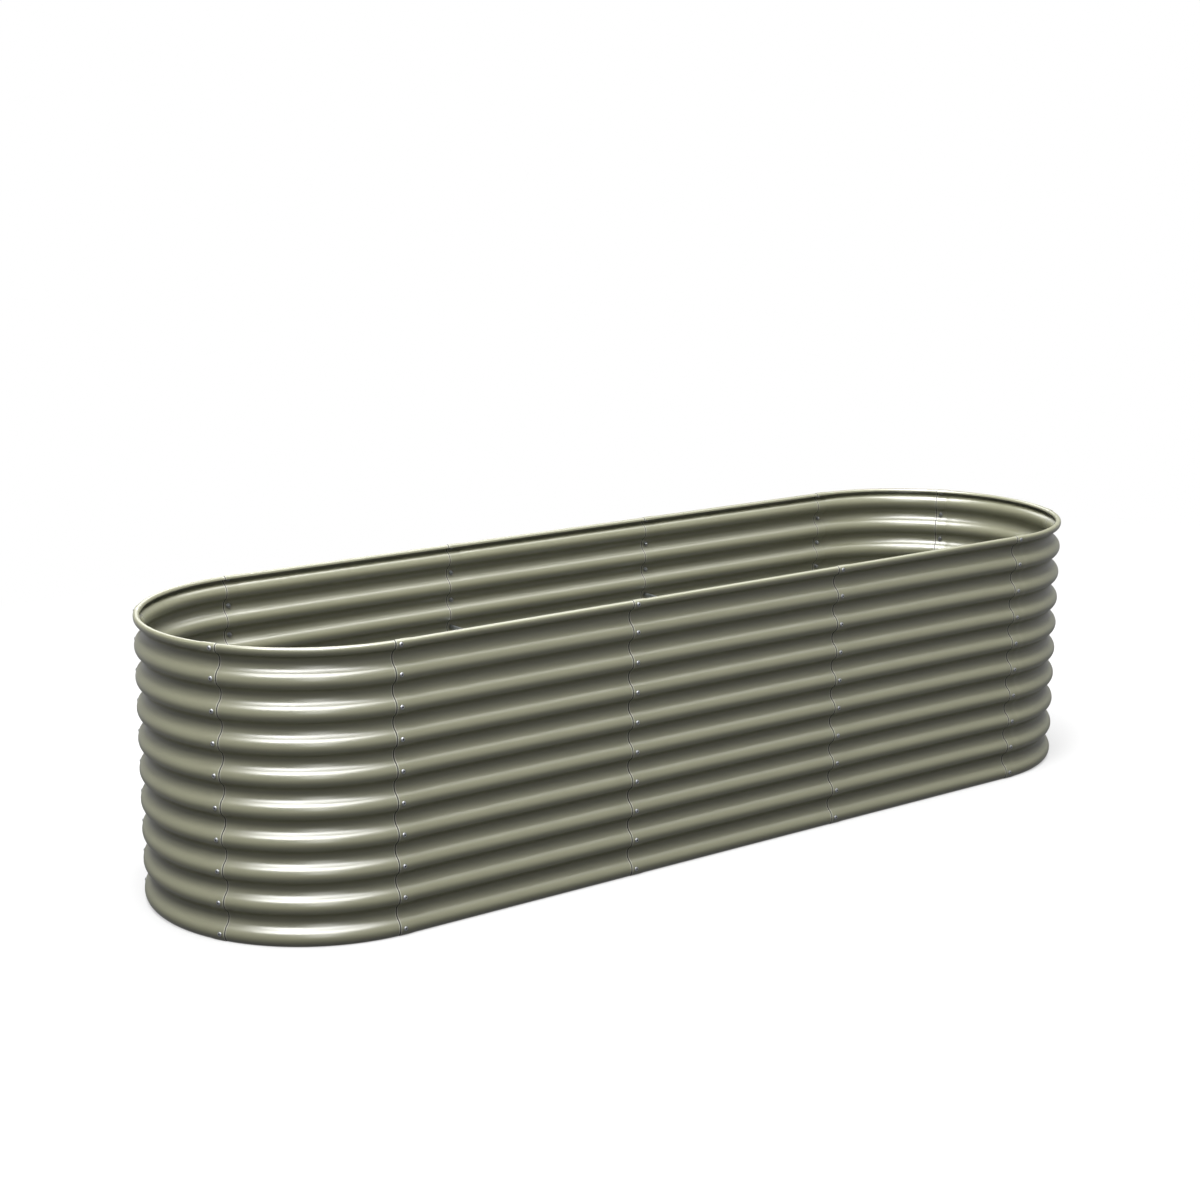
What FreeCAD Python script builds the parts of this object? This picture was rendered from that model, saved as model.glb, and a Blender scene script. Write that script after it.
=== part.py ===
import FreeCAD, Part
import math
import os

# Raised garden bed: a bottomless wall ring of corrugated sheet-steel panels, lapped and
# bolted at twelve upright seams. Z is up, the ground edge lies on z = 0, X runs along the
# bed and the front long side faces -Y. All sizes are in millimetres.

# Plan of the ring, measured on the outer face of the bulges
panel_length = 573.0        # straight panel, module point to module point
panels_per_side = 3
end_radius = 355.5          # round end
end_seam_angle = 62.0       # degrees of a round end taken by its front corner panel, and by its end panel
seam_shift = 6.0            # bolts of the long sides stand this far left of the module points

# Corrugated sheet
sheet = 0.8                 # coated steel thickness
wave_pitch = 64.5           # bulge to bulge
wave_depth = 17.5           # bulge to groove
wave_count = 9              # whole waves below the rim
foot_drop = 16.0            # ground edge below the centre of the lowest bulge

# Rolled rim
rim_lowering = 4.7          # the rim bulge stands this much under a whole wave
rim_land = 1.5              # flat strip between the rim bolts and the roll
roll_radius = 6.5           # outer face of the roll
roll_angle = 180.0          # degrees that the roll turns over, inward and down

# Laps between panels
lap_gap = 0.15              # air between the two sheets
lap_over = 10.0             # edge of the covering panel, past the bolts
lap_under = 15.0            # end of the covered panel, past the bolts
lap_relief = 1.0            # the covering panel stays raised this far past the covered end
lap_step = 12.0             # length over which it steps back to the common face

# Fasteners: M5 button-head bolts with washer and nut inside
bolt_diameter = 5.0
bolt_length = 10.0
head_diameter = 9.5
head_height = 2.75
head_land = 0.6             # upright edge under the dome
socket_flats = 3.0
socket_depth = 1.6
sheet_hole_clearance = 0.5
washer_diameter = 10.0
washer_thickness = 1.0
washer_hole_clearance = 0.3
nut_flats = 8.0
nut_height = 4.0
thread_clearance = 0.1
seat_clearance = 0.05       # keeps a washer's edge just off the concave sheet

# Tie rods: cross the bed between the long sides, tapped for the seam bolts
rod_diameter = 10.0
rod_bore_extra = 2.0        # tapped depth past the bolt's tip
rod_bulges = (2, 6)         # bulges, counted from the ground, whose bolts hold the rods

# Derived sizes of the sheet's section
wave_radius = wave_pitch ** 2 / (16 * wave_depth) + wave_depth / 4
wave_angle = math.asin(wave_pitch / 4 / wave_radius)
rim_rise = wave_pitch / 2 - rim_lowering
rim_radius = (wave_depth ** 2 + rim_rise ** 2) / (2 * wave_depth) - wave_radius
rim_angle = math.asin(rim_rise / (wave_radius + rim_radius))
lap_raise = sheet + lap_gap

# Derived sizes of the plan: stations run along the front, to the right, from its left end
front_length = panels_per_side * panel_length
half_front = front_length / 2
half_turn = math.pi * end_radius
front_reach = math.radians(end_seam_angle) * end_radius
back_reach = half_turn - 2 * front_reach

# Levels of the bolts, one on each bulge and one on the rim
bulge_levels = [foot_drop + k * wave_pitch for k in range(wave_count)]
rim_level = foot_drop + wave_count * wave_pitch - rim_lowering
bolt_levels = bulge_levels + [rim_level]

# Fasteners are made along +X, which then turns to point into the bed
inward_x = FreeCAD.Vector(1, 0, 0)


def plan_frame(station):
    """Point on the plan line at a station, and the outward direction there."""
    if station < 0:
        turn = -station / end_radius
        outward = FreeCAD.Vector(-math.sin(turn), -math.cos(turn), 0)
        return FreeCAD.Vector(-half_front, 0, 0) + outward * end_radius, outward
    if station > front_length:
        turn = (station - front_length) / end_radius
        outward = FreeCAD.Vector(math.sin(turn), -math.cos(turn), 0)
        return FreeCAD.Vector(half_front, 0, 0) + outward * end_radius, outward
    return FreeCAD.Vector(station - half_front, -end_radius, 0), FreeCAD.Vector(0, -1, 0)


def face_pieces(offset):
    """One face of the sheet from the ground up, as arcs and lines in (outward, up) terms.

    The offset is measured outward from the middle of the sheet of the common face.
    An arc is (centre out, centre up, radius, first angle, last angle), in radians.
    """
    crest_out = -sheet / 2 - wave_radius
    groove_out = -sheet / 2 - wave_depth + wave_radius
    pieces = []
    for level in bulge_levels:
        first = level == bulge_levels[0]
        last = level == bulge_levels[-1]
        start = -math.asin(foot_drop / (wave_radius + offset)) if first else -wave_angle
        pieces.append((crest_out, level, wave_radius + offset, start, wave_angle))
        leave = math.pi - (rim_angle if last else wave_angle)
        pieces.append((groove_out, level + wave_pitch / 2, wave_radius - offset,
                       math.pi + wave_angle, leave))
    pieces.append((-sheet / 2 - rim_radius, rim_level, rim_radius + offset, -rim_angle, 0.0))
    roll_level = rim_level + rim_land
    face = offset - sheet / 2
    pieces.append(((face, rim_level), (face, roll_level)))
    turn = math.radians(roll_angle)
    roll = roll_radius + face
    pieces.append((-roll_radius, roll_level, roll, 0.0, turn / 2))
    pieces.append((-roll_radius, roll_level, roll, turn / 2, turn))
    return pieces


def section_wire(station, raised):
    """Closed outline of the sheet at a station, raised outward from the common face."""
    origin, outward = plan_frame(station)

    def place(out, up):
        return origin + outward * out + FreeCAD.Vector(0, 0, up)

    def on_arc(piece, angle):
        return place(piece[0] + piece[2] * math.cos(angle), piece[1] + piece[2] * math.sin(angle))

    def draw(pieces):
        edges = []
        for piece in pieces:
            if len(piece) == 2:
                edges.append(Part.makeLine(place(*piece[0]), place(*piece[1])))
            else:
                points = [on_arc(piece, a) for a in (piece[3], (piece[3] + piece[4]) / 2, piece[4])]
                edges.append(Part.Arc(*points).toShape())
        return edges

    outer_pieces = face_pieces(raised + sheet / 2)
    inner_pieces = face_pieces(raised - sheet / 2)
    outer = draw(outer_pieces)
    inner = draw(inner_pieces)
    lip = Part.makeLine(on_arc(outer_pieces[-1], outer_pieces[-1][4]),
                        on_arc(inner_pieces[-1], inner_pieces[-1][4]))
    foot = Part.makeLine(on_arc(inner_pieces[0], inner_pieces[0][3]),
                         on_arc(outer_pieces[0], outer_pieces[0][3]))
    return Part.Wire(outer + [lip] + inner[::-1] + [foot])


def stretch_faces(start, raised_start, end, raised_end):
    """Outer, inner, lip and foot faces of the sheet between two stations.

    A stretch of even height runs straight or round with the plan; where the height changes,
    a short ruled stretch steps from one face to the other.
    """
    if raised_start != raised_end:
        low = section_wire(start, raised_start).OrderedEdges
        high = section_wire(end, raised_end).OrderedEdges
        return [Part.makeRuledSurface(a, b) for a, b in zip(low, high)]
    faces = []
    stops = [start] + [s for s in (0.0, front_length) if start < s < end] + [end]
    for low, high in zip(stops[:-1], stops[1:]):
        edges = section_wire(low, raised_start).OrderedEdges
        middle = (low + high) / 2
        if 0 < middle < front_length:
            faces += [edge.extrude(FreeCAD.Vector(high - low, 0, 0)) for edge in edges]
        else:
            centre = FreeCAD.Vector(math.copysign(half_front, middle), 0, 0)
            turn = math.degrees((high - low) / end_radius)
            faces += [edge.revolve(centre, FreeCAD.Vector(0, 0, 1), turn) for edge in edges]
    return faces


def set_at(piece, station, level, depth):
    """Copy of a piece made along +X, turned inward at a bolt's place and set in by a depth."""
    point, outward = plan_frame(station)
    turn = FreeCAD.Rotation(inward_x, outward * -1)
    place = FreeCAD.Placement(point - outward * depth + FreeCAD.Vector(0, 0, level), turn)
    return piece.transformed(place.toMatrix(), True)


def panel(left_seam, left_over, right_seam, right_over):
    """Panel between two bolt seams; at each seam it lies over or under its neighbour."""
    left = left_seam - (lap_over if left_over else lap_under)
    right = right_seam + (lap_over if right_over else lap_under)
    raised_reach = lap_under + lap_relief
    stops = [(left, lap_raise if left_over else 0.0)]
    if left_over:
        stops.append((left_seam + raised_reach, lap_raise))
        stops.append((left_seam + raised_reach + lap_step, 0.0))
    if right_over:
        stops.append((right_seam - raised_reach - lap_step, 0.0))
        stops.append((right_seam - raised_reach, lap_raise))
    stops.append((right, lap_raise if right_over else 0.0))
    faces = [Part.Face(section_wire(*stops[0])), Part.Face(section_wire(*stops[-1]))]
    for low, high in zip(stops[:-1], stops[1:]):
        faces += stretch_faces(*low, *high)
    skin = Part.Compound(faces)
    skin.sewShape()
    body = Part.makeSolid(skin)
    if body.Volume < 0:
        body.reverse()
    hole_radius = (bolt_diameter + sheet_hole_clearance) / 2
    drill_reach = 2 * lap_raise
    drill = Part.makeCylinder(hole_radius, 2 * drill_reach, FreeCAD.Vector(-drill_reach, 0, 0), inward_x)
    return body.cut([set_at(drill, seam, z, 0.0) for seam in (left_seam, right_seam) for z in bolt_levels])


def washer_seat(level):
    """Depth of a washer's outer face under the common face at a bolt level."""
    reach = washer_diameter / 2
    below = (rim_radius if level == rim_level else wave_radius) - sheet / 2
    sag = below - math.sqrt(below ** 2 - reach ** 2)
    if level == rim_level and reach > rim_land:
        roll = roll_radius - sheet
        sag = max(sag, roll - math.sqrt(roll ** 2 - (reach - rim_land) ** 2))
    return sheet + sag + seat_clearance


def hexagon(start, flats, height):
    """Hexagonal prism along +X with two corners upright."""
    radius = flats / math.sqrt(3)
    angles = [math.radians(60 * k) for k in range(7)]
    corners = [FreeCAD.Vector(start, radius * math.sin(a), radius * math.cos(a)) for a in angles]
    return Part.Face(Part.makePolygon(corners)).extrude(inward_x * height)


def cylinder(diameter, length, start=0.0):
    return Part.makeCylinder(diameter / 2, length, FreeCAD.Vector(start, 0, 0), inward_x)


def make_bolt():
    """Button-head bolt along +X, the underside of its head at the origin."""
    rise = head_height - head_land
    dome_radius = ((head_diameter / 2) ** 2 + rise ** 2) / (2 * rise)
    ball = Part.makeSphere(dome_radius, FreeCAD.Vector(dome_radius - head_height, 0, 0))
    head = cylinder(head_diameter, head_height, -head_height).common(ball)
    socket = hexagon(-head_height, socket_flats, socket_depth)
    return head.fuse(cylinder(bolt_diameter, bolt_length)).cut(socket).removeSplitter()


def make_washer():
    hole = cylinder(bolt_diameter + washer_hole_clearance, washer_thickness)
    return cylinder(washer_diameter, washer_thickness).cut(hole)


def make_nut():
    return hexagon(0.0, nut_flats, nut_height).cut(cylinder(bolt_diameter + thread_clearance, nut_height))


def tie_rod(station, level):
    """Rod from the front washer to the back washer, bored at both ends for the bolts."""
    inset = washer_seat(level) + washer_thickness
    length = 2 * (end_radius - inset)
    bore_depth = bolt_length - lap_raise - inset + rod_bore_extra
    bore_diameter = bolt_diameter + thread_clearance
    bores = [cylinder(bore_diameter, bore_depth), cylinder(bore_diameter, bore_depth, length - bore_depth)]
    return set_at(cylinder(rod_diameter, length).cut(bores), station, level, inset)


def on_side(shape, side):
    """A piece of the front half as it is, or mirrored onto the back half."""
    if side == "front":
        return shape
    return shape.mirror(FreeCAD.Vector(0, 0, 0), FreeCAD.Vector(0, 1, 0))


def build():
    nodes = {}
    straight_seams = [k * panel_length - seam_shift for k in range(panels_per_side + 1)]
    rod_seams = straight_seams[1:-1]
    rod_levels = [bulge_levels[k] for k in rod_bulges]
    one_bolt = make_bolt()
    one_washer = make_washer()
    one_nut = make_nut()
    seats = {z: washer_seat(z) for z in bolt_levels}

    for side, reach in (("front", front_reach), ("back", back_reach)):
        for k in range(panels_per_side):
            wall = panel(straight_seams[k], True, straight_seams[k + 1], False)
            nodes["side_panel_%s_%d" % (side, k + 1)] = on_side(wall, side)
        left_corner = panel(-reach, False, straight_seams[0], False)
        right_corner = panel(straight_seams[-1], True, front_length + reach, False)
        nodes["corner_panel_left_%s" % side] = on_side(left_corner, side)
        nodes["corner_panel_right_%s" % side] = on_side(right_corner, side)

        seams = {"%s_%d" % (side, k + 1): seam for k, seam in enumerate(straight_seams)}
        seams["left_%s" % side] = -reach
        seams["right_%s" % side] = front_length + reach
        for name, seam in seams.items():
            nut_levels = [z for z in bolt_levels if not (seam in rod_seams and z in rod_levels)]
            bolts = [set_at(one_bolt, seam, z, -lap_raise) for z in bolt_levels]
            washers = [set_at(one_washer, seam, z, seats[z]) for z in bolt_levels]
            nuts = [set_at(one_nut, seam, z, seats[z] + washer_thickness) for z in nut_levels]
            for kind, pieces in (("bolts", bolts), ("washers", washers), ("nuts", nuts)):
                nodes["%s_%s" % (kind, name)] = on_side(Part.makeCompound(pieces), side)

    far_end = half_turn - back_reach
    nodes["end_panel_left"] = panel(-far_end, True, -front_reach, True)
    nodes["end_panel_right"] = panel(front_length + front_reach, True, front_length + far_end, True)
    for row, level in zip(("lower", "upper"), rod_levels):
        for k, seam in enumerate(rod_seams):
            nodes["tie_rod_%s_%d" % (row, k + 1)] = tie_rod(seam, level)
    return nodes


os.makedirs("parts", exist_ok=True)
for node, shape in build().items():
    shape.exportStep("parts/%s.step" % node)
    box = shape.BoundBox
    print("%-28s solids %3d  valid %s  volume %10.1f  x %8.2f %8.2f  y %8.2f %8.2f  z %7.2f %7.2f" % (
        node, len(shape.Solids), shape.isValid(), shape.Volume,
        box.XMin, box.XMax, box.YMin, box.YMax, box.ZMin, box.ZMax))
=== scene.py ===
import math
import bpy
from mathutils import Matrix, Vector


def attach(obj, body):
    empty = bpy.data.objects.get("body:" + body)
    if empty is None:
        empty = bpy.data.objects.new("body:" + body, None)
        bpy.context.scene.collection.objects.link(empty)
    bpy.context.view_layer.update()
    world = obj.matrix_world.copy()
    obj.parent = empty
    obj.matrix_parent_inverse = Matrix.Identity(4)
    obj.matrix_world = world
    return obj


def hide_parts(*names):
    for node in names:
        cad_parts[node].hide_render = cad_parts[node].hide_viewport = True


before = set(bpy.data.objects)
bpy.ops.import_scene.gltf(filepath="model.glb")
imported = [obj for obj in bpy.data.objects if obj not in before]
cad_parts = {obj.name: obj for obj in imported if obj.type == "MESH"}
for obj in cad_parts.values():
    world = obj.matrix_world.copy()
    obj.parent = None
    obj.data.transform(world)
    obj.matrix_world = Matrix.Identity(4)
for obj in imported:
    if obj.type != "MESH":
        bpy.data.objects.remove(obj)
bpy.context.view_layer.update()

mm = 0.001
print("frame loaded:", len(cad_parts), "nodes")


# small helpers

def linearColour(hexText):
    # sRGB hex to the linear values that the shaders take
    parts = [int(hexText[i:i + 2], 16) / 255 for i in (1, 3, 5)]
    return tuple(p / 12.92 if p <= 0.04045 else ((p + 0.055) / 1.055) ** 2.4 for p in parts) + (1.0,)


def addNode(tree, kind, settings=None, inputs=None):
    # one node with its settings; an input takes a value or another node's socket
    node = tree.nodes.new(kind)
    for name, value in (settings or {}).items():
        setattr(node, name, value)
    for name, value in (inputs or {}).items():
        if isinstance(value, bpy.types.NodeSocket):
            tree.links.new(value, node.inputs[name])
        else:
            node.inputs[name].default_value = value
    return node


def newMaterial(name):
    material = bpy.data.materials.new(name)
    material.use_nodes = True
    material.node_tree.nodes.clear()
    return material, material.node_tree


def finishMaterial(tree, shader, bump=None):
    addNode(tree, "ShaderNodeOutputMaterial", None, {"Surface": shader.outputs[0]})
    if bump is not None:
        tree.links.new(bump.outputs["Normal"], shader.inputs["Normal"])


# materials

coatLook = {
    "olive": "#666653",          # the coat's own colour
    "oliveLight": "#6a6a57",     # where the coat is a little thinner
    "seamShade": "#24241d",      # painted shadow along a covering sheet's edge
    "seamPaintedHighlight": "#96968a",        # painted highlight, paler coat on both sides of that line
    "seamShadeWidth": 2.6 * mm,
    "seamPaintedHighlightWidth": 1.3 * mm,
    "seamSoftness": 0.3 * mm,    # half the width over which the painted shadow and painted highlight fade out
    "roughness": 0.3,
    "roughnessSpread": 0.02,
    "specular": 1.0,
    "ior": 1.5,
    "peelSize": 2.2 * mm,        # orange peel of the baked coat, drawn a little coarse to show
    "peelDepth": 0.003 * mm,
    "cloudSize": 90 * mm,        # slow change of shade along the strip
    "wobbleSize": 140 * mm,      # slight waviness left by roll forming
    "wobbleDepth": 0.35 * mm,
}


def seamMask(tree, farther):
    # 1 within a distance of the line along a lapped edge, 0 beyond it; the sheet carries its
    # distance past its left and right lapped edges as a second UV map
    middle = coatLook["seamShadeWidth"] / 2
    edges = addNode(tree, "ShaderNodeUVMap", {"uv_map": "lapEdges"})
    parts = addNode(tree, "ShaderNodeSeparateXYZ", None, {"Vector": edges.outputs[0]})
    gaps = []
    for axis in ("X", "Y"):
        past = addNode(tree, "ShaderNodeMath", {"operation": "SUBTRACT"}, {0: parts.outputs[axis], 1: middle})
        gap = addNode(tree, "ShaderNodeMath", {"operation": "ABSOLUTE"}, {0: past.outputs[0]})
        gaps.append(gap.outputs[0])
    near = addNode(tree, "ShaderNodeMath", {"operation": "MINIMUM"}, {0: gaps[0], 1: gaps[1]})
    reach, soft = middle + farther, coatLook["seamSoftness"]
    mask = addNode(tree, "ShaderNodeMapRange", None,
                   {"Value": near.outputs[0], "From Min": reach - soft, "From Max": reach + soft,
                    "To Min": 1.0, "To Max": 0.0})
    return mask.outputs["Result"]


def bakedPolyesterCoat():
    # steel strip with a baked polyester coat: satin to the eye, with fine orange peel,
    # soft clouds of shade, and the slow waviness of roll-formed sheet in its highlights
    material, tree = newMaterial("bakedPolyesterCoat")
    where = addNode(tree, "ShaderNodeTexCoord").outputs["Object"]
    clouds = addNode(tree, "ShaderNodeTexNoise", None,
                     {"Vector": where, "Scale": 1 / coatLook["cloudSize"], "Detail": 2.0})
    tone = addNode(tree, "ShaderNodeMix", {"data_type": "RGBA"},
                   {"Factor": clouds.outputs["Fac"], "A": linearColour(coatLook["olive"]),
                    "B": linearColour(coatLook["oliveLight"])})
    # painted shadow: a dark line along each visible lapped edge, also made rough
    shade = seamMask(tree, 0.0)
    # painted highlight: paler coat on both sides of the painted shadow line
    highlighted = addNode(tree, "ShaderNodeMix", {"data_type": "RGBA"},
                     {"Factor": seamMask(tree, coatLook["seamPaintedHighlightWidth"]), "A": tone.outputs["Result"],
                      "B": linearColour(coatLook["seamPaintedHighlight"])})
    lined = addNode(tree, "ShaderNodeMix", {"data_type": "RGBA"},
                    {"Factor": shade, "A": highlighted.outputs["Result"],
                     "B": linearColour(coatLook["seamShade"])})
    peel = addNode(tree, "ShaderNodeTexNoise", None,
                   {"Vector": where, "Scale": 1 / coatLook["peelSize"], "Detail": 1.0})
    peelBump = addNode(tree, "ShaderNodeBump", None,
                       {"Height": peel.outputs["Fac"], "Strength": 1.0, "Distance": coatLook["peelDepth"]})
    wobble = addNode(tree, "ShaderNodeTexNoise", None,
                     {"Vector": where, "Scale": 1 / coatLook["wobbleSize"], "Detail": 1.0})
    bump = addNode(tree, "ShaderNodeBump", None,
                   {"Height": wobble.outputs["Fac"], "Strength": 1.0, "Distance": coatLook["wobbleDepth"],
                    "Normal": peelBump.outputs["Normal"]})
    rough = addNode(tree, "ShaderNodeMapRange", None,
                    {"Value": clouds.outputs["Fac"],
                     "To Min": coatLook["roughness"] - coatLook["roughnessSpread"],
                     "To Max": coatLook["roughness"] + coatLook["roughnessSpread"]})
    dulled = addNode(tree, "ShaderNodeMath", {"operation": "MAXIMUM"}, {0: rough.outputs["Result"], 1: shade})
    shader = addNode(tree, "ShaderNodeBsdfPrincipled", None,
                     {"Base Color": lined.outputs["Result"], "Roughness": dulled.outputs[0],
                      "Specular IOR Level": coatLook["specular"], "IOR": coatLook["ior"]})
    finishMaterial(tree, shader, bump)
    return material


edgeLook = {"zinc": "#6b6b63", "roughness": 0.55, "roughnessSpread": 0.15, "burrSize": 0.8 * mm}


def shearedSteelEdge():
    # sheared edge of the strip: bare steel between thin zinc layers, dull and finely burred
    material, tree = newMaterial("shearedSteelEdge")
    where = addNode(tree, "ShaderNodeTexCoord").outputs["Object"]
    burr = addNode(tree, "ShaderNodeTexNoise", None, {"Vector": where, "Scale": 1 / edgeLook["burrSize"]})
    rough = addNode(tree, "ShaderNodeMapRange", None,
                    {"Value": burr.outputs["Fac"],
                     "To Min": edgeLook["roughness"] - edgeLook["roughnessSpread"],
                     "To Max": edgeLook["roughness"] + edgeLook["roughnessSpread"]})
    shader = addNode(tree, "ShaderNodeBsdfPrincipled", None,
                     {"Base Color": linearColour(edgeLook["zinc"]), "Metallic": 1.0,
                      "Roughness": rough.outputs["Result"]})
    finishMaterial(tree, shader)
    return material


platingLook = {
    "zinc": "#9c9ea2",
    "socketShade": "#26272a",         # painted shade in the bolts' sockets, darkest on their floors
    "smoothest": 0.24,
    "roughest": 0.4,
    "grainSize": 0.6 * mm,
    "grainDepth": 0.01 * mm,
}


def brightZincPlating():
    # bright zinc plating on turned and pressed steel: silvery, with a faint grain and painted shade in the
    # sockets
    material, tree = newMaterial("brightZincPlating")
    where = addNode(tree, "ShaderNodeTexCoord").outputs["Object"]
    grain = addNode(tree, "ShaderNodeTexNoise", None,
                    {"Vector": where, "Scale": 1 / platingLook["grainSize"], "Detail": 2.0})
    bump = addNode(tree, "ShaderNodeBump", None,
                   {"Height": grain.outputs["Fac"], "Strength": 1.0, "Distance": platingLook["grainDepth"]})
    rough = addNode(tree, "ShaderNodeMapRange", None,
                    {"Value": grain.outputs["Fac"], "To Min": platingLook["smoothest"],
                     "To Max": platingLook["roughest"]})
    # painted shade: the marked socket rings take a dark colour
    socketShade = addNode(tree, "ShaderNodeAttribute", {"attribute_name": "socketShade"})
    tone = addNode(tree, "ShaderNodeMix", {"data_type": "RGBA"},
                   {"Factor": socketShade.outputs["Fac"], "A": linearColour(platingLook["zinc"]),
                    "B": linearColour(platingLook["socketShade"])})
    shader = addNode(tree, "ShaderNodeBsdfPrincipled", None,
                     {"Base Color": tone.outputs["Result"], "Metallic": 1.0,
                      "Roughness": rough.outputs["Result"]})
    finishMaterial(tree, shader, bump)
    return material


rodLook = {
    "zinc": "#a9adae",
    "zincDark": "#8b9092",
    "roughness": 0.42,
    "roughnessSpread": 0.08,
    "spangleSize": 6 * mm,
}


def galvanisedRod():
    # hot-dip galvanised rod: dull grey zinc with small spangles of two shades
    material, tree = newMaterial("galvanisedRod")
    where = addNode(tree, "ShaderNodeTexCoord").outputs["Object"]
    spangle = addNode(tree, "ShaderNodeTexVoronoi", None,
                      {"Vector": where, "Scale": 1 / rodLook["spangleSize"]})
    shade = addNode(tree, "ShaderNodeSeparateColor", None, {"Color": spangle.outputs["Color"]})
    tone = addNode(tree, "ShaderNodeMix", {"data_type": "RGBA"},
                   {"Factor": shade.outputs[0], "A": linearColour(rodLook["zincDark"]),
                    "B": linearColour(rodLook["zinc"])})
    rough = addNode(tree, "ShaderNodeMapRange", None,
                    {"Value": shade.outputs[1],
                     "To Min": rodLook["roughness"] - rodLook["roughnessSpread"],
                     "To Max": rodLook["roughness"] + rodLook["roughnessSpread"]})
    shader = addNode(tree, "ShaderNodeBsdfPrincipled", None,
                     {"Base Color": tone.outputs["Result"], "Metallic": 1.0,
                      "Roughness": rough.outputs["Result"]})
    finishMaterial(tree, shader)
    return material


coat = bakedPolyesterCoat()
cutEdge = shearedSteelEdge()
plating = brightZincPlating()
rodZinc = galvanisedRod()
print("materials made")


# plan of the bed and section of its sheet

plan = {
    "panelLength": 573.0 * mm,
    "panelsPerSide": 3,
    "endRadius": 355.5 * mm,      # to the outer face of the bulges
    "endSeamTurn": math.radians(62.0),   # taken by a front corner panel, and by an end panel
    "seamShift": 6.0 * mm,        # of the straight seams towards the left end
    "curveStep": 9.0 * mm,        # spacing of the points on the round ends
    "straightStep": 60.0 * mm,    # and on the straight sides
}
section = {
    "pitch": 64.5 * mm,
    "depth": 17.5 * mm,
    "waves": 9,
    "footDrop": 16.0 * mm,       # from the lowest crest to the ground
    "thickness": 0.8 * mm,
    "rimLowering": 4.7 * mm,     # the rim's bulge stands this much under a whole wave
    "rimLand": 1.5 * mm,         # upright strip between that bulge and the roll
    "rollRadius": 6.5 * mm,
    "pointsPerArc": 9,
    "pointsOnRoll": 12,
    "sharpFrom": math.radians(40),
}
lap = {
    "raise": 0.95 * mm,          # of the covering sheet
    "over": 10.0 * mm,           # edge of the covering sheet, past the bolts
    "under": 15.0 * mm,          # end of the covered sheet, past the bolts
    "relief": 1.0 * mm,
    "step": 12.0 * mm,           # length over which the covering sheet steps back
}
frontLength = plan["panelsPerSide"] * plan["panelLength"]
straightSeams = [k * plan["panelLength"] - plan["seamShift"]
                 for k in range(plan["panelsPerSide"] + 1)]
halfTurn = math.pi * plan["endRadius"]
frontReach = plan["endSeamTurn"] * plan["endRadius"]
backReach = halfTurn - 2 * frontReach
rimLevel = section["footDrop"] + section["waves"] * section["pitch"] - section["rimLowering"]


def planFrame(station):
    # point on the outer plan line and the outward direction there
    radius = plan["endRadius"]
    turn = min(station, 0) / radius or max(station - frontLength, 0) / radius
    outward = Vector((math.sin(turn), -math.cos(turn), 0))
    straight = min(max(station, 0), frontLength) - frontLength / 2
    return Vector((straight, 0, 0)) + outward * radius, outward


def arcPoints(centre, radius, first, last, count):
    # points of an arc in the plane of the section; the first one is left to the arc before
    steps = [first + (last - first) * k / count for k in range(1, count + 1)]
    return [(centre[0] + radius * math.cos(a), centre[1] + radius * math.sin(a)) for a in steps]


def bulgeRadii():
    # radii at mid-thickness: of the arcs of a wave, and of the rim's bulge
    pitch, depth = section["pitch"], section["depth"]
    wave = pitch ** 2 / (16 * depth) + depth / 4
    rise = pitch / 2 - section["rimLowering"]
    return wave, (depth ** 2 + rise ** 2) / (2 * depth) - wave


def sectionPoints():
    # outer face of the sheet from the ground to the lip, as (outward, up)
    pitch, depth, half = section["pitch"], section["depth"], section["thickness"] / 2
    wave, rim = bulgeRadii()
    angle = math.asin(pitch / 4 / wave)
    rimAngle = math.asin((pitch / 2 - section["rimLowering"]) / (wave + rim))
    count = section["pointsPerArc"]
    crest, groove = -half - wave, -half - depth + wave
    foot = -math.asin(section["footDrop"] / (wave + half))
    points = [(crest + (wave + half) * math.cos(foot), 0.0)]
    for k in range(section["waves"]):
        level = section["footDrop"] + k * pitch
        last = k == section["waves"] - 1
        points += arcPoints((crest, level), wave + half, -angle if k else foot, angle, count)
        points += arcPoints((groove, level + pitch / 2), wave - half, math.pi + angle,
                            math.pi - (rimAngle if last else angle), count)
    points += arcPoints((-half - rim, rimLevel), rim + half, -rimAngle, 0.0, count // 2)
    rollLevel = rimLevel + section["rimLand"]
    points.append((0.0, rollLevel))
    points += arcPoints((-section["rollRadius"], rollLevel), section["rollRadius"], 0.0, math.pi,
                        section["pointsOnRoll"])
    return points


def polyCurve(name, points):
    curve = bpy.data.curves.new(name, "CURVE")
    curve.dimensions = "3D"
    spline = curve.splines.new("POLY")
    spline.points.add(len(points) - 1)
    for point, place in zip(spline.points, points):
        point.co = (*place, 1.0)
    obj = bpy.data.objects.new(name, curve)
    bpy.context.scene.collection.objects.link(obj)
    return obj


def newTree(name, sockets):
    # geometry tree with named inputs: (name, socket type, starting value)
    tree = bpy.data.node_groups.new(name, "GeometryNodeTree")
    tree.interface.new_socket("Geometry", in_out="INPUT", socket_type="NodeSocketGeometry")
    tree.interface.new_socket("Geometry", in_out="OUTPUT", socket_type="NodeSocketGeometry")
    for label, kind, value in sockets:
        socket = tree.interface.new_socket(label, in_out="INPUT", socket_type=kind)
        if value is not None:
            socket.default_value = value
    return tree


def setInputs(modifier, values):
    for item in modifier.node_group.interface.items_tree:
        if item.item_type == "SOCKET" and item.in_out == "INPUT" and item.name in values:
            modifier[item.identifier] = values[item.name]


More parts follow.
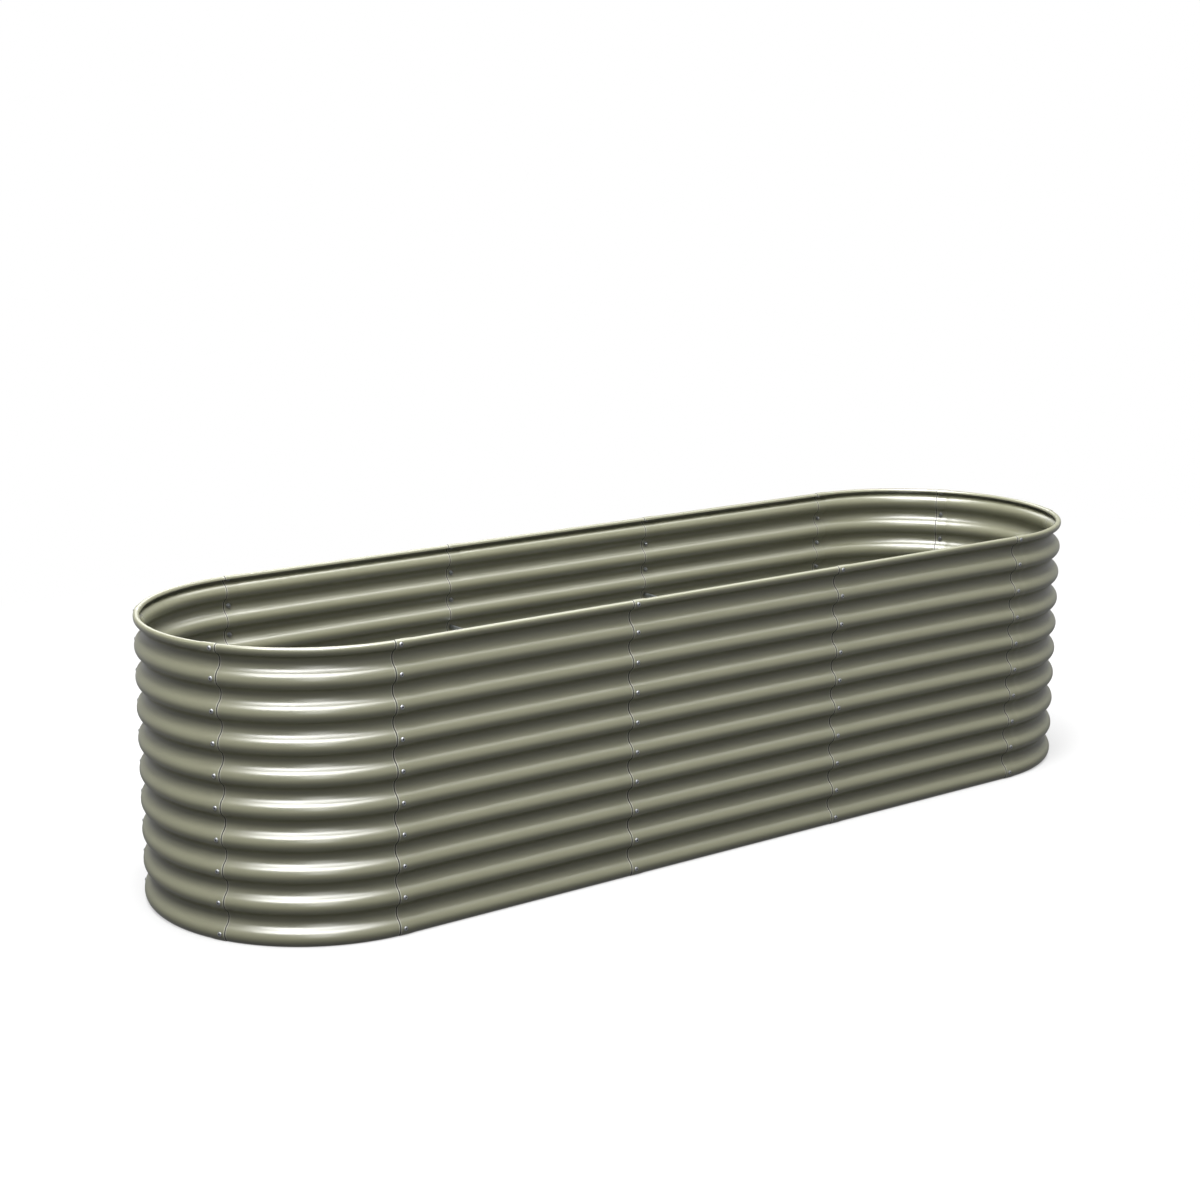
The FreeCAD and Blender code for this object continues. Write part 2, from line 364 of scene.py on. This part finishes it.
def corrugatedSheetTree():
    # sweeps the section along a plan line and lifts the lapped ends; UV maps give the run, and
    # how far each point lies past the visible lapped edge at the left and at the right
    tree = newTree("corrugatedSheet", [
        ("Section", "NodeSocketObject", None),
        ("Left Lap", "NodeSocketFloat", 0.0),
        ("Right Lap", "NodeSocketFloat", 0.0),
        ("Step", "NodeSocketFloat", lap["step"]),
        ("Raise", "NodeSocketFloat", lap["raise"]),
        ("Covered", "NodeSocketFloat", lap["over"] + lap["under"]),
        ("Finish", "NodeSocketMaterial", None),
    ])
    given = addNode(tree, "NodeGroupInput").outputs
    along = addNode(tree, "GeometryNodeSplineParameter").outputs["Length"]
    total = addNode(tree, "GeometryNodeSplineLength").outputs["Length"]
    upright = addNode(tree, "GeometryNodeSetCurveNormal", {"mode": "Z_UP"}, {"Curve": given["Geometry"]})
    hold = addNode(tree, "GeometryNodeCaptureAttribute", {"domain": "POINT"},
                   {"Geometry": upright.outputs[0]})
    hold.capture_items.new("FLOAT", "Along")
    hold.capture_items.new("FLOAT", "Total")
    tree.links.new(along, hold.inputs["Along"])
    tree.links.new(total, hold.inputs["Total"])
    shape = addNode(tree, "GeometryNodeObjectInfo", {"transform_space": "ORIGINAL"},
                    {"Object": given["Section"]})
    holdUp = addNode(tree, "GeometryNodeCaptureAttribute", {"domain": "POINT"},
                     {"Geometry": shape.outputs["Geometry"]})
    holdUp.capture_items.new("FLOAT", "Up")
    tree.links.new(along, holdUp.inputs["Up"])
    swept = addNode(tree, "GeometryNodeCurveToMesh", None,
                    {"Curve": hold.outputs["Geometry"], "Profile Curve": holdUp.outputs["Geometry"]})
    faced = addNode(tree, "GeometryNodeFlipFaces", None, {"Mesh": swept.outputs[0]})
    masks, edges = [], []
    fromRight = addNode(tree, "ShaderNodeMath", {"operation": "SUBTRACT"},
                        {0: hold.outputs["Total"], 1: hold.outputs["Along"]})
    for reach, name in ((hold.outputs["Along"], "Left Lap"), (fromRight.outputs[0], "Right Lap")):
        end = addNode(tree, "ShaderNodeMath", {"operation": "ADD"}, {0: given[name], 1: given["Step"]})
        fade = addNode(tree, "ShaderNodeMapRange", None,
                       {"Value": reach, "From Min": given[name], "From Max": end.outputs[0],
                        "To Min": 1.0, "To Max": 0.0})
        used = addNode(tree, "ShaderNodeMath", {"operation": "GREATER_THAN"}, {0: given[name], 1: 0.0})
        mask = addNode(tree, "ShaderNodeMath", {"operation": "MULTIPLY"},
                       {0: fade.outputs["Result"], 1: used.outputs[0]})
        masks.append(mask.outputs[0])
        pastOver = addNode(tree, "ShaderNodeMath", {"operation": "MULTIPLY"}, {0: reach, 1: -1.0})
        pastUnder = addNode(tree, "ShaderNodeMath", {"operation": "SUBTRACT"},
                            {0: reach, 1: given["Covered"]})
        past = addNode(tree, "ShaderNodeMix", {"data_type": "FLOAT"},
                       {"Factor": used.outputs[0], "A": pastUnder.outputs[0], "B": pastOver.outputs[0]})
        edges.append(past.outputs["Result"])
    either = addNode(tree, "ShaderNodeMath", {"operation": "MAXIMUM"}, {0: masks[0], 1: masks[1]})
    lift = addNode(tree, "ShaderNodeMath", {"operation": "MULTIPLY"},
                   {0: either.outputs[0], 1: given["Raise"]})
    normal = addNode(tree, "GeometryNodeInputNormal").outputs[0]
    shift = addNode(tree, "ShaderNodeVectorMath", {"operation": "SCALE"},
                    {"Vector": normal, "Scale": lift.outputs[0]})
    lifted = addNode(tree, "GeometryNodeSetPosition", None,
                     {"Geometry": faced.outputs[0], "Offset": shift.outputs[0]})
    run = addNode(tree, "ShaderNodeCombineXYZ", None, {"X": hold.outputs["Along"], "Y": holdUp.outputs["Up"]})
    mapped = addNode(tree, "GeometryNodeStoreNamedAttribute", {"data_type": "FLOAT2", "domain": "CORNER"},
                     {"Geometry": lifted.outputs[0], "Name": "sheetRun", "Value": run.outputs[0]})
    past = addNode(tree, "ShaderNodeCombineXYZ", None, {"X": edges[0], "Y": edges[1]})
    lined = addNode(tree, "GeometryNodeStoreNamedAttribute", {"data_type": "FLOAT2", "domain": "CORNER"},
                    {"Geometry": mapped.outputs[0], "Name": "lapEdges", "Value": past.outputs[0]})
    smooth = addNode(tree, "GeometryNodeSetShadeSmooth", None, {"Geometry": lined.outputs[0]})
    real = addNode(tree, "GeometryNodeRealizeInstances", None, {"Geometry": smooth.outputs[0]})
    dressed = addNode(tree, "GeometryNodeSetMaterial", None,
                      {"Geometry": real.outputs[0], "Material": given["Finish"]})
    addNode(tree, "NodeGroupOutput", None, {"Geometry": dressed.outputs[0]})
    return tree


def bakePiece(name, source, materials):
    # evaluates a piece and keeps the result as a plain mesh at the origin
    bpy.context.view_layer.update()
    evaluated = source.evaluated_get(bpy.context.evaluated_depsgraph_get())
    mesh = bpy.data.meshes.new_from_object(evaluated)
    mesh.name = name
    mesh.materials.clear()
    for material in materials:
        mesh.materials.append(material)
    piece = bpy.data.objects.new(name, mesh)
    bpy.context.scene.collection.objects.link(piece)
    bpy.data.objects.remove(source)
    return piece


def planPoints(start, end, extra):
    # stations from start to end: close on the round ends, few on the straight sides
    stations = {start, end, *extra}
    for stop in (0.0, frontLength):
        if start < stop < end:
            stations.add(stop)
    marks = sorted(stations)
    filled = []
    for low, high in zip(marks[:-1], marks[1:]):
        middle = (low + high) / 2
        spacing = plan["straightStep"] if 0 < middle < frontLength else plan["curveStep"]
        count = max(1, math.ceil((high - low) / spacing))
        filled += [low + (high - low) * k / count for k in range(count)]
    return filled + [marks[-1]]


sheetTree = corrugatedSheetTree()
# a sweep turns the section over, so its heights are given downwards
sectionCurve = polyCurve("sheetSection", [(out, -up, 0.0) for out, up in sectionPoints()])


def makePanel(name, leftSeam, leftOver, rightSeam, rightOver, mirrored=False):
    # sheet between two bolt seams, over or under its neighbour at each
    left = leftSeam - (lap["over"] if leftOver else lap["under"])
    right = rightSeam + (lap["over"] if rightOver else lap["under"])
    raised = lap["over"] + lap["under"] + lap["relief"]
    marks = []
    if leftOver:
        marks += [left + raised, left + raised + lap["step"]]
    if rightOver:
        marks += [right - raised, right - raised - lap["step"]]
    points = [planFrame(station)[0] for station in planPoints(left, right, marks)]
    laps = [raised if leftOver else 0.0, raised if rightOver else 0.0]
    if mirrored:
        points = [Vector((p.x, -p.y, 0.0)) for p in reversed(points)]
        laps.reverse()
    line = polyCurve(name + "Line", points)
    modifier = line.modifiers.new("sheet", "NODES")
    modifier.node_group = sheetTree
    setInputs(modifier, {"Section": sectionCurve, "Left Lap": laps[0], "Right Lap": laps[1], "Finish": coat})
    wall = line.modifiers.new("thickness", "SOLIDIFY")
    wall.thickness = section["thickness"]
    wall.offset = -1.0
    wall.material_offset_rim = 1
    piece = bakePiece(name, line, [coat, cutEdge])
    piece.data.set_sharp_from_angle(angle=section["sharpFrom"])
    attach(piece, "root")
    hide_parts(name)


def makePanels():
    for side, reach in (("front", frontReach), ("back", backReach)):
        back = side == "back"
        for k in range(plan["panelsPerSide"]):
            makePanel("side_panel_%s_%d" % (side, k + 1), straightSeams[k], True, straightSeams[k + 1],
                      False, back)
        makePanel("corner_panel_left_" + side, -reach, False, straightSeams[0], False, back)
        makePanel("corner_panel_right_" + side, straightSeams[-1], True, frontLength + reach, False, back)
    farEnd = halfTurn - backReach
    makePanel("end_panel_left", -farEnd, True, -frontReach, True)
    makePanel("end_panel_right", frontLength + frontReach, True, frontLength + farEnd, True)


makePanels()
bpy.data.objects.remove(sectionCurve)
print("panels made")


# fasteners: one small mesh of each kind, set along the seams by a geometry tree

bolt = {
    "shankRadius": 2.5 * mm,
    "length": 10.0 * mm,
    "headRadius": 4.75 * mm,
    "headHeight": 2.75 * mm,
    "headLand": 0.6 * mm,         # upright edge under the dome
    "headEdge": 0.1 * mm,         # break of that edge beside the sheet
    "domeShares": (0.55, 0.7, 0.85, 0.95),   # of the head's radius, where the dome has a ring
    "socketFlats": 3.0 * mm,
    "socketDepth": 1.5 * mm,
    "socketFloor": 0.3 * mm,      # radius of the floor's middle ring
    "socketBevel": 0.15 * mm,
    "threadPitch": 0.8 * mm,
    "threadDepth": 0.3 * mm,
    "threadStart": 2.4 * mm,
}
washer = {"radius": 5.0 * mm, "bore": 2.65 * mm, "thickness": 1.0 * mm, "edge": 0.12 * mm}
nut = {
    "flats": 8.0 * mm,
    "height": 4.0 * mm,
    "bore": 2.55 * mm,
    "countersink": 0.3 * mm,
    "faceInset": 0.1 * mm,        # of the round end faces inside the flats
    "cornerBevel": math.radians(30),
}
rod = {
    "radius": 5.0 * mm,
    "bore": 2.55 * mm,
    "boreSpare": 2.0 * mm,        # depth past the end of the bolt
    "boreEndShare": 0.9,          # of the bore's radius, on its floor
    "edge": 0.5 * mm,
    "bulges": (2, 6),             # counted from the lowest, which is 0
    "sides": 32,
}
seatClearance = 0.05 * mm
leastStep = 0.02 * mm             # keeps neighbouring rings apart
turnedSharpFrom = math.radians(35)


def hexRadius(flats, angle):
    # distance from the axis to the side of a hexagon at an angle
    return flats / 2 / math.cos((angle + math.pi / 6) % (math.pi / 3) - math.pi / 6)


def turnedMesh(name, rings, sides=24, closed=False, recessed=0):
    # rings along +X; each gives (along, radius) at an angle; open shapes get an end cap, and
    # the first few rings can be marked to take painted socket shade
    mesh = bpy.data.meshes.new(name)
    verts = []
    for ring in rings:
        for k in range(sides):
            angle = 2 * math.pi * k / sides
            x, radius = ring(angle) if callable(ring) else ring
            verts.append((x, radius * math.sin(angle), radius * math.cos(angle)))
    faces = []
    pairs = list(zip(range(len(rings)), range(1, len(rings))))
    if closed:
        pairs.append((len(rings) - 1, 0))
    for a, b in pairs:
        for k in range(sides):
            n = (k + 1) % sides
            faces.append((a * sides + k, a * sides + n, b * sides + n, b * sides + k))
    if not closed:
        faces.append(tuple(range(sides - 1, -1, -1)))
        faces.append(tuple((len(rings) - 1) * sides + k for k in range(sides)))
    mesh.from_pydata(verts, [], faces)
    mesh.update()
    marks = mesh.attributes.new("socketShade", "FLOAT", "POINT")
    marks.data.foreach_set("value", [float(k < recessed * sides) for k in range(len(verts))])
    obj = bpy.data.objects.new(name, mesh)
    bpy.context.scene.collection.objects.link(obj)
    return obj


def boltRings():
    rise = bolt["headHeight"] - bolt["headLand"]
    dome = (bolt["headRadius"] ** 2 + rise ** 2) / (2 * rise)

    def domeX(radius):
        return dome - bolt["headHeight"] - math.sqrt(dome ** 2 - radius ** 2)

    floor = bolt["socketDepth"] - bolt["headHeight"]
    head, edge, socket, bevel = bolt["headRadius"], bolt["headEdge"], bolt["socketFlats"], bolt["socketBevel"]
    rings = [(floor, bolt["socketFloor"]),
             lambda a: (floor, hexRadius(socket, a)),
             lambda a: (domeX(hexRadius(socket, a)) + bevel, hexRadius(socket, a)),
             lambda a: (domeX(hexRadius(socket, a) + bevel), hexRadius(socket, a) + bevel)]
    rings += [(domeX(head * share), head * share) for share in bolt["domeShares"]]
    rings += [(-bolt["headLand"] - leastStep, head), (-edge, head), (0.0, head - edge),
              (0.0, bolt["shankRadius"])]
    x = bolt["threadStart"]
    while x + bolt["threadPitch"] < bolt["length"]:
        rings += [(x, bolt["shankRadius"]),
                  (x + bolt["threadPitch"] / 2, bolt["shankRadius"] - bolt["threadDepth"])]
        x += bolt["threadPitch"]
    rings.append((bolt["length"], bolt["shankRadius"] - 2 * bolt["threadDepth"]))
    return rings


def washerRings():
    thick, edge = washer["thickness"], washer["edge"]
    return [(0.0, washer["bore"]), (0.0, washer["radius"] - edge), (edge, washer["radius"]),
            (thick - edge, washer["radius"]), (thick, washer["radius"] - edge), (thick, washer["bore"])]


def nutRings():
    flats, height, bore, sink = nut["flats"], nut["height"], nut["bore"], nut["countersink"]
    face = flats / 2 - nut["faceInset"]

    def corner(angle):
        return (hexRadius(flats, angle) - flats / 2) * math.tan(nut["cornerBevel"]) + leastStep

    return [(sink, bore), (0.0, bore + sink), (0.0, face),
            lambda a: (corner(a), hexRadius(flats, a)),
            lambda a: (height - corner(a), hexRadius(flats, a)),
            (height, face), (height, bore + sink), (height - sink, bore)]


def fastenerRowTree():
    # one piece on every bulge and on the rim, each turned a little differently, then set at a seam
    tree = newTree("fastenerRow", [
        ("Piece", "NodeSocketObject", None),
        ("First Level", "NodeSocketFloat", section["footDrop"]),
        ("Pitch", "NodeSocketFloat", section["pitch"]),
        ("Waves", "NodeSocketInt", section["waves"]),
        ("Rim Level", "NodeSocketFloat", rimLevel),
        ("Depth", "NodeSocketFloat", 0.0),
        ("Rim Depth", "NodeSocketFloat", 0.0),
        ("Left Out Low", "NodeSocketInt", -1),
        ("Left Out High", "NodeSocketInt", -1),
        ("Turn Seed", "NodeSocketInt", 0),
        ("Place", "NodeSocketVector", None),
        ("Heading", "NodeSocketFloat", 0.0),
        ("Finish", "NodeSocketMaterial", None),
    ])
    given = addNode(tree, "NodeGroupInput").outputs
    first = addNode(tree, "ShaderNodeCombineXYZ", None, {"X": given["Depth"], "Z": given["First Level"]})
    step = addNode(tree, "ShaderNodeCombineXYZ", None, {"Z": given["Pitch"]})
    rim = addNode(tree, "ShaderNodeCombineXYZ", None, {"X": given["Rim Depth"], "Z": given["Rim Level"]})
    bulges = addNode(tree, "GeometryNodeMeshLine", {"mode": "OFFSET"},
                     {"Count": given["Waves"], "Start Location": first.outputs[0], "Offset": step.outputs[0]})
    index = addNode(tree, "GeometryNodeInputIndex").outputs[0]
    chosen = []
    for name in ("Left Out Low", "Left Out High"):
        same = addNode(tree, "FunctionNodeCompare", {"data_type": "INT", "operation": "EQUAL"},
                       {"A": index, "B": given[name]})
        chosen.append(same.outputs[0])
    both = addNode(tree, "FunctionNodeBooleanMath", {"operation": "OR"}, {0: chosen[0], 1: chosen[1]})
    kept = addNode(tree, "GeometryNodeDeleteGeometry", {"domain": "POINT"},
                   {"Geometry": bulges.outputs[0], "Selection": both.outputs[0]})
    top = addNode(tree, "GeometryNodeMeshLine", {"mode": "OFFSET"},
                  {"Count": 1, "Start Location": rim.outputs[0]})
    joined = addNode(tree, "GeometryNodeJoinGeometry")
    tree.links.new(kept.outputs[0], joined.inputs[0])
    tree.links.new(top.outputs[0], joined.inputs[0])
    turn = addNode(tree, "FunctionNodeRandomValue", {"data_type": "FLOAT"},
                   {"Min": 0.0, "Max": 2 * math.pi, "Seed": given["Turn Seed"]})
    turnOut = [out for out in turn.outputs if out.enabled][0]
    spin = addNode(tree, "ShaderNodeCombineXYZ", None, {"X": turnOut})
    shape = addNode(tree, "GeometryNodeObjectInfo", {"transform_space": "ORIGINAL"},
                    {"Object": given["Piece"], "As Instance": True})
    placed = addNode(tree, "GeometryNodeInstanceOnPoints", None,
                     {"Points": joined.outputs[0], "Instance": shape.outputs["Geometry"],
                      "Rotation": spin.outputs[0]})
    real = addNode(tree, "GeometryNodeRealizeInstances", None, {"Geometry": placed.outputs[0]})
    heading = addNode(tree, "ShaderNodeCombineXYZ", None, {"Z": given["Heading"]})
    moved = addNode(tree, "GeometryNodeTransform", None,
                    {"Geometry": real.outputs[0], "Translation": given["Place"],
                     "Rotation": heading.outputs[0]})
    dressed = addNode(tree, "GeometryNodeSetMaterial", None,
                      {"Geometry": moved.outputs[0], "Material": given["Finish"]})
    addNode(tree, "NodeGroupOutput", None, {"Geometry": dressed.outputs[0]})
    return tree


def washerSeat(onRim):
    # depth of a washer's outer face under the outer face of the covered sheet
    thick = section["thickness"]
    wave, rim = bulgeRadii()
    below = (rim if onRim else wave) - thick / 2
    sag = below - math.sqrt(below ** 2 - washer["radius"] ** 2)
    if onRim:
        roll = section["rollRadius"] - thick
        sag = max(sag, roll - math.sqrt(roll ** 2 - (washer["radius"] - section["rimLand"]) ** 2))
    return thick + sag + seatClearance


def makeFastenerRow(name, tree, shape, station, mirrored, values, seed):
    # the bolts, washers or nuts of one seam, as one piece
    point, outward = planFrame(station)
    if mirrored:
        point, outward = Vector((point.x, -point.y, 0)), Vector((outward.x, -outward.y, 0))
    inward = -outward
    base = bpy.data.objects.new(name + "Base", bpy.data.meshes.new(name + "Base"))
    bpy.context.scene.collection.objects.link(base)
    modifier = base.modifiers.new("row", "NODES")
    modifier.node_group = tree
    setInputs(modifier, {"Piece": shape, "Place": tuple(point), "Heading": math.atan2(inward.y, inward.x),
                         "Turn Seed": seed, "Finish": plating, **values})
    piece = bakePiece(name, base, [plating])
    piece.data.shade_smooth()
    piece.data.set_sharp_from_angle(angle=turnedSharpFrom)
    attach(piece, "root")
    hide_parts(name)


def makeFasteners():
    tree = fastenerRowTree()
    shapes = {"bolts": turnedMesh("oneBolt", boltRings(), recessed=2),
              "washers": turnedMesh("oneWasher", washerRings(), closed=True),
              "nuts": turnedMesh("oneNut", nutRings(), closed=True)}
    seat, rimSeat = washerSeat(False), washerSeat(True)
    behind = washer["thickness"]
    depths = {"bolts": {"Depth": -lap["raise"], "Rim Depth": -lap["raise"]},
              "washers": {"Depth": seat, "Rim Depth": rimSeat},
              "nuts": {"Depth": seat + behind, "Rim Depth": rimSeat + behind}}
    rodSeams = straightSeams[1:-1]
    seed = 0
    for side, reach in (("front", frontReach), ("back", backReach)):
        seams = {"%s_%d" % (side, k + 1): station for k, station in enumerate(straightSeams)}
        seams["left_" + side] = -reach
        seams["right_" + side] = frontLength + reach
        for seam, station in seams.items():
            for kind, shape in shapes.items():
                values = dict(depths[kind])
                if kind == "nuts" and station in rodSeams:
                    values.update({"Left Out Low": rod["bulges"][0], "Left Out High": rod["bulges"][1]})
                seed += 1
                makeFastenerRow("%s_%s" % (kind, seam), tree, shape, station, side == "back", values, seed)
    for shape in shapes.values():
        bpy.data.objects.remove(shape)


makeFasteners()
print("fasteners made")


def rodRings(length):
    # rod along +X with a blind bore at each end
    edge, bore, radius = rod["edge"], rod["bore"], rod["radius"]
    depth = bolt["length"] - lap["raise"] - washerSeat(False) - washer["thickness"] + rod["boreSpare"]
    floor = bore * rod["boreEndShare"]
    return [(depth, floor), (depth, bore), (edge / 2, bore), (0.0, bore + edge / 2),
            (0.0, radius - edge), (edge, radius), (length - edge, radius), (length, radius - edge),
            (length, bore + edge / 2), (length - edge / 2, bore), (length - depth, bore),
            (length - depth, floor)]


def makeTieRods():
    inset = washerSeat(False) + washer["thickness"]
    length = 2 * (plan["endRadius"] - inset)
    for k in range(1, plan["panelsPerSide"]):
        x = straightSeams[k] - frontLength / 2
        for row, bulge in zip(("lower", "upper"), rod["bulges"]):
            level = section["footDrop"] + bulge * section["pitch"]
            name = "tie_rod_%s_%d" % (row, k)
            piece = turnedMesh(name, rodRings(length), rod["sides"])
            piece.data.transform(Matrix.Translation((x, inset - plan["endRadius"], level))
                                 @ Matrix.Rotation(math.pi / 2, 4, "Z"))
            piece.data.materials.append(rodZinc)
            piece.data.shade_smooth()
            piece.data.set_sharp_from_angle(angle=turnedSharpFrom)
            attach(piece, "root")
            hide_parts(name)


makeTieRods()
print("tie rods made")


# floor, light and camera

stageLook = {
    "size": 60.0,
    "floor": "#303030",          # as it lights the bed
    "shownFloor": "#a8a8a8",     # as the camera sees it
    "glow": 0.5,                 # share of plain white near the bed
    "shadowReach": (1.6, 3.4),   # metres from the middle over which the floor turns plain white
    "shadowShape": (0.75, 1.2, 1.0),   # shares by which that distance is stretched along each axis
    "mirrored": 0.5,             # share of the white background that shiny faces show
}


def shownShare(tree, seen):
    # how much of the white background a ray is shown: all for the camera, less in mirrors
    glossy = addNode(tree, "ShaderNodeMath", {"operation": "MULTIPLY"},
                     {0: seen["Is Glossy Ray"], 1: stageLook["mirrored"]})
    direct = addNode(tree, "ShaderNodeMath", {"operation": "MAXIMUM"},
                     {0: seen["Is Camera Ray"], 1: seen["Is Transmission Ray"]})
    return addNode(tree, "ShaderNodeMath", {"operation": "MAXIMUM"},
                   {0: direct.outputs[0], 1: glossy.outputs[0]}).outputs[0]


def paleStudioFloor():
    # matt floor that stays dim for the bed: the camera and mirrors see it near white, with the
    # bed's soft shadow beside the wall
    material, tree = newMaterial("paleStudioFloor")
    seen = addNode(tree, "ShaderNodeLightPath").outputs
    shown = shownShare(tree, seen)
    where = addNode(tree, "ShaderNodeTexCoord").outputs["Object"]
    stretched = addNode(tree, "ShaderNodeVectorMath", {"operation": "MULTIPLY"},
                        {0: where, 1: stageLook["shadowShape"]})
    away = addNode(tree, "ShaderNodeVectorMath", {"operation": "LENGTH"}, {0: stretched.outputs[0]})
    near, far = stageLook["shadowReach"]
    clear = addNode(tree, "ShaderNodeMapRange", None,
                    {"Value": away.outputs["Value"], "From Min": near, "From Max": far,
                     "To Min": stageLook["glow"], "To Max": 1.0})
    share = addNode(tree, "ShaderNodeMath", {"operation": "MULTIPLY"}, {0: shown, 1: clear.outputs["Result"]})
    tone = addNode(tree, "ShaderNodeMix", {"data_type": "RGBA"},
                   {"Factor": seen["Is Camera Ray"], "A": linearColour(stageLook["floor"]),
                    "B": linearColour(stageLook["shownFloor"])})
    matt = addNode(tree, "ShaderNodeBsdfDiffuse", None, {"Color": tone.outputs["Result"]})
    glow = addNode(tree, "ShaderNodeEmission", None, {"Color": (1, 1, 1, 1), "Strength": 1.0})
    mixed = addNode(tree, "ShaderNodeMixShader", None,
                    {0: share.outputs[0], 1: matt.outputs[0], 2: glow.outputs[0]})
    finishMaterial(tree, mixed)
    return material


def makeFloor():
    half = stageLook["size"] / 2
    mesh = bpy.data.meshes.new("floor")
    corners = [(-half, -half, 0), (half, -half, 0), (half, half, 0), (-half, half, 0)]
    mesh.from_pydata(corners, [], [(0, 1, 2, 3)])
    mesh.materials.append(paleStudioFloor())
    floor = bpy.data.objects.new("floor", mesh)
    bpy.context.scene.collection.objects.link(floor)


lights = {
    # turn is measured from the front (-Y) towards the left end, rise above the ground
    "key": {"turn": 49, "rise": 76, "width": 7.0, "height": 9.0, "watts": 2450},
    "core": {"turn": 63, "rise": 74, "width": 1.8, "height": 8.0, "watts": 480},
    "fill": {"turn": -88, "rise": 58, "width": 4.0, "height": 4.0, "watts": 250},
    "front": {"turn": 33, "rise": 27, "width": 2.2, "height": 5.5, "watts": 150},
    "rear": {"turn": 200, "rise": 35, "width": 5.0, "height": 4.0, "watts": 300},
}
lampPlace = {"distance": 8.0, "aimHeight": 0.3}
worldLook = {"strength": 0.02}


def makeLights():
    middle = Vector((0.0, 0.0, lampPlace["aimHeight"]))
    for name, light in lights.items():
        data = bpy.data.lights.new(name, "AREA")
        data.shape = "RECTANGLE"
        data.size = light["width"]
        data.size_y = light["height"]
        data.energy = light["watts"]
        lamp = bpy.data.objects.new(name, data)
        turn, rise = math.radians(light["turn"]), math.radians(light["rise"])
        level = math.cos(rise)
        direction = Vector((-math.sin(turn) * level, -math.cos(turn) * level, math.sin(rise)))
        lamp.location = middle + direction * lampPlace["distance"]
        lamp.rotation_euler = direction.to_track_quat("Z", "Y").to_euler()
        lamp.visible_camera = False
        bpy.context.scene.collection.objects.link(lamp)


def makeWorld():
    world = bpy.data.worlds.new("studio")
    bpy.context.scene.world = world
    world.use_nodes = True
    tree = world.node_tree
    tree.nodes.clear()
    shown = shownShare(tree, addNode(tree, "ShaderNodeLightPath").outputs)
    strength = addNode(tree, "ShaderNodeMapRange", None,
                       {"Value": shown, "To Min": worldLook["strength"], "To Max": 1.0})
    back = addNode(tree, "ShaderNodeBackground", None,
                   {"Color": (1, 1, 1, 1), "Strength": strength.outputs["Result"]})
    addNode(tree, "ShaderNodeOutputWorld", None, {"Surface": back.outputs[0]})


view = {
    "place": (-2.982, -3.801, 1.6165),
    "heading": 36.934,             # degrees from +Y towards +X
    "down": 13.090,                # degrees below level
    "roll": 0.279,
    "focalShare": 2179.9 / 1200,   # focal length over the frame's width
    "sensorWidth": 36.0,
    "farthest": 100.0,
}


def makeCamera():
    data = bpy.data.cameras.new("camera")
    data.sensor_fit = "HORIZONTAL"
    data.sensor_width = view["sensorWidth"]
    data.lens = view["sensorWidth"] * view["focalShare"]
    data.clip_end = view["farthest"]
    camera = bpy.data.objects.new("camera", data)
    camera.matrix_world = (Matrix.Translation(view["place"])
                           @ Matrix.Rotation(math.radians(-view["heading"]), 4, "Z")
                           @ Matrix.Rotation(math.radians(90 - view["down"]), 4, "X")
                           @ Matrix.Rotation(math.radians(view["roll"]), 4, "Z"))
    bpy.context.scene.collection.objects.link(camera)
    bpy.context.scene.camera = camera


makeFloor()
makeLights()
makeWorld()
makeCamera()
bpy.context.scene.view_settings.view_transform = "Standard"
print("floor, lights and camera set")
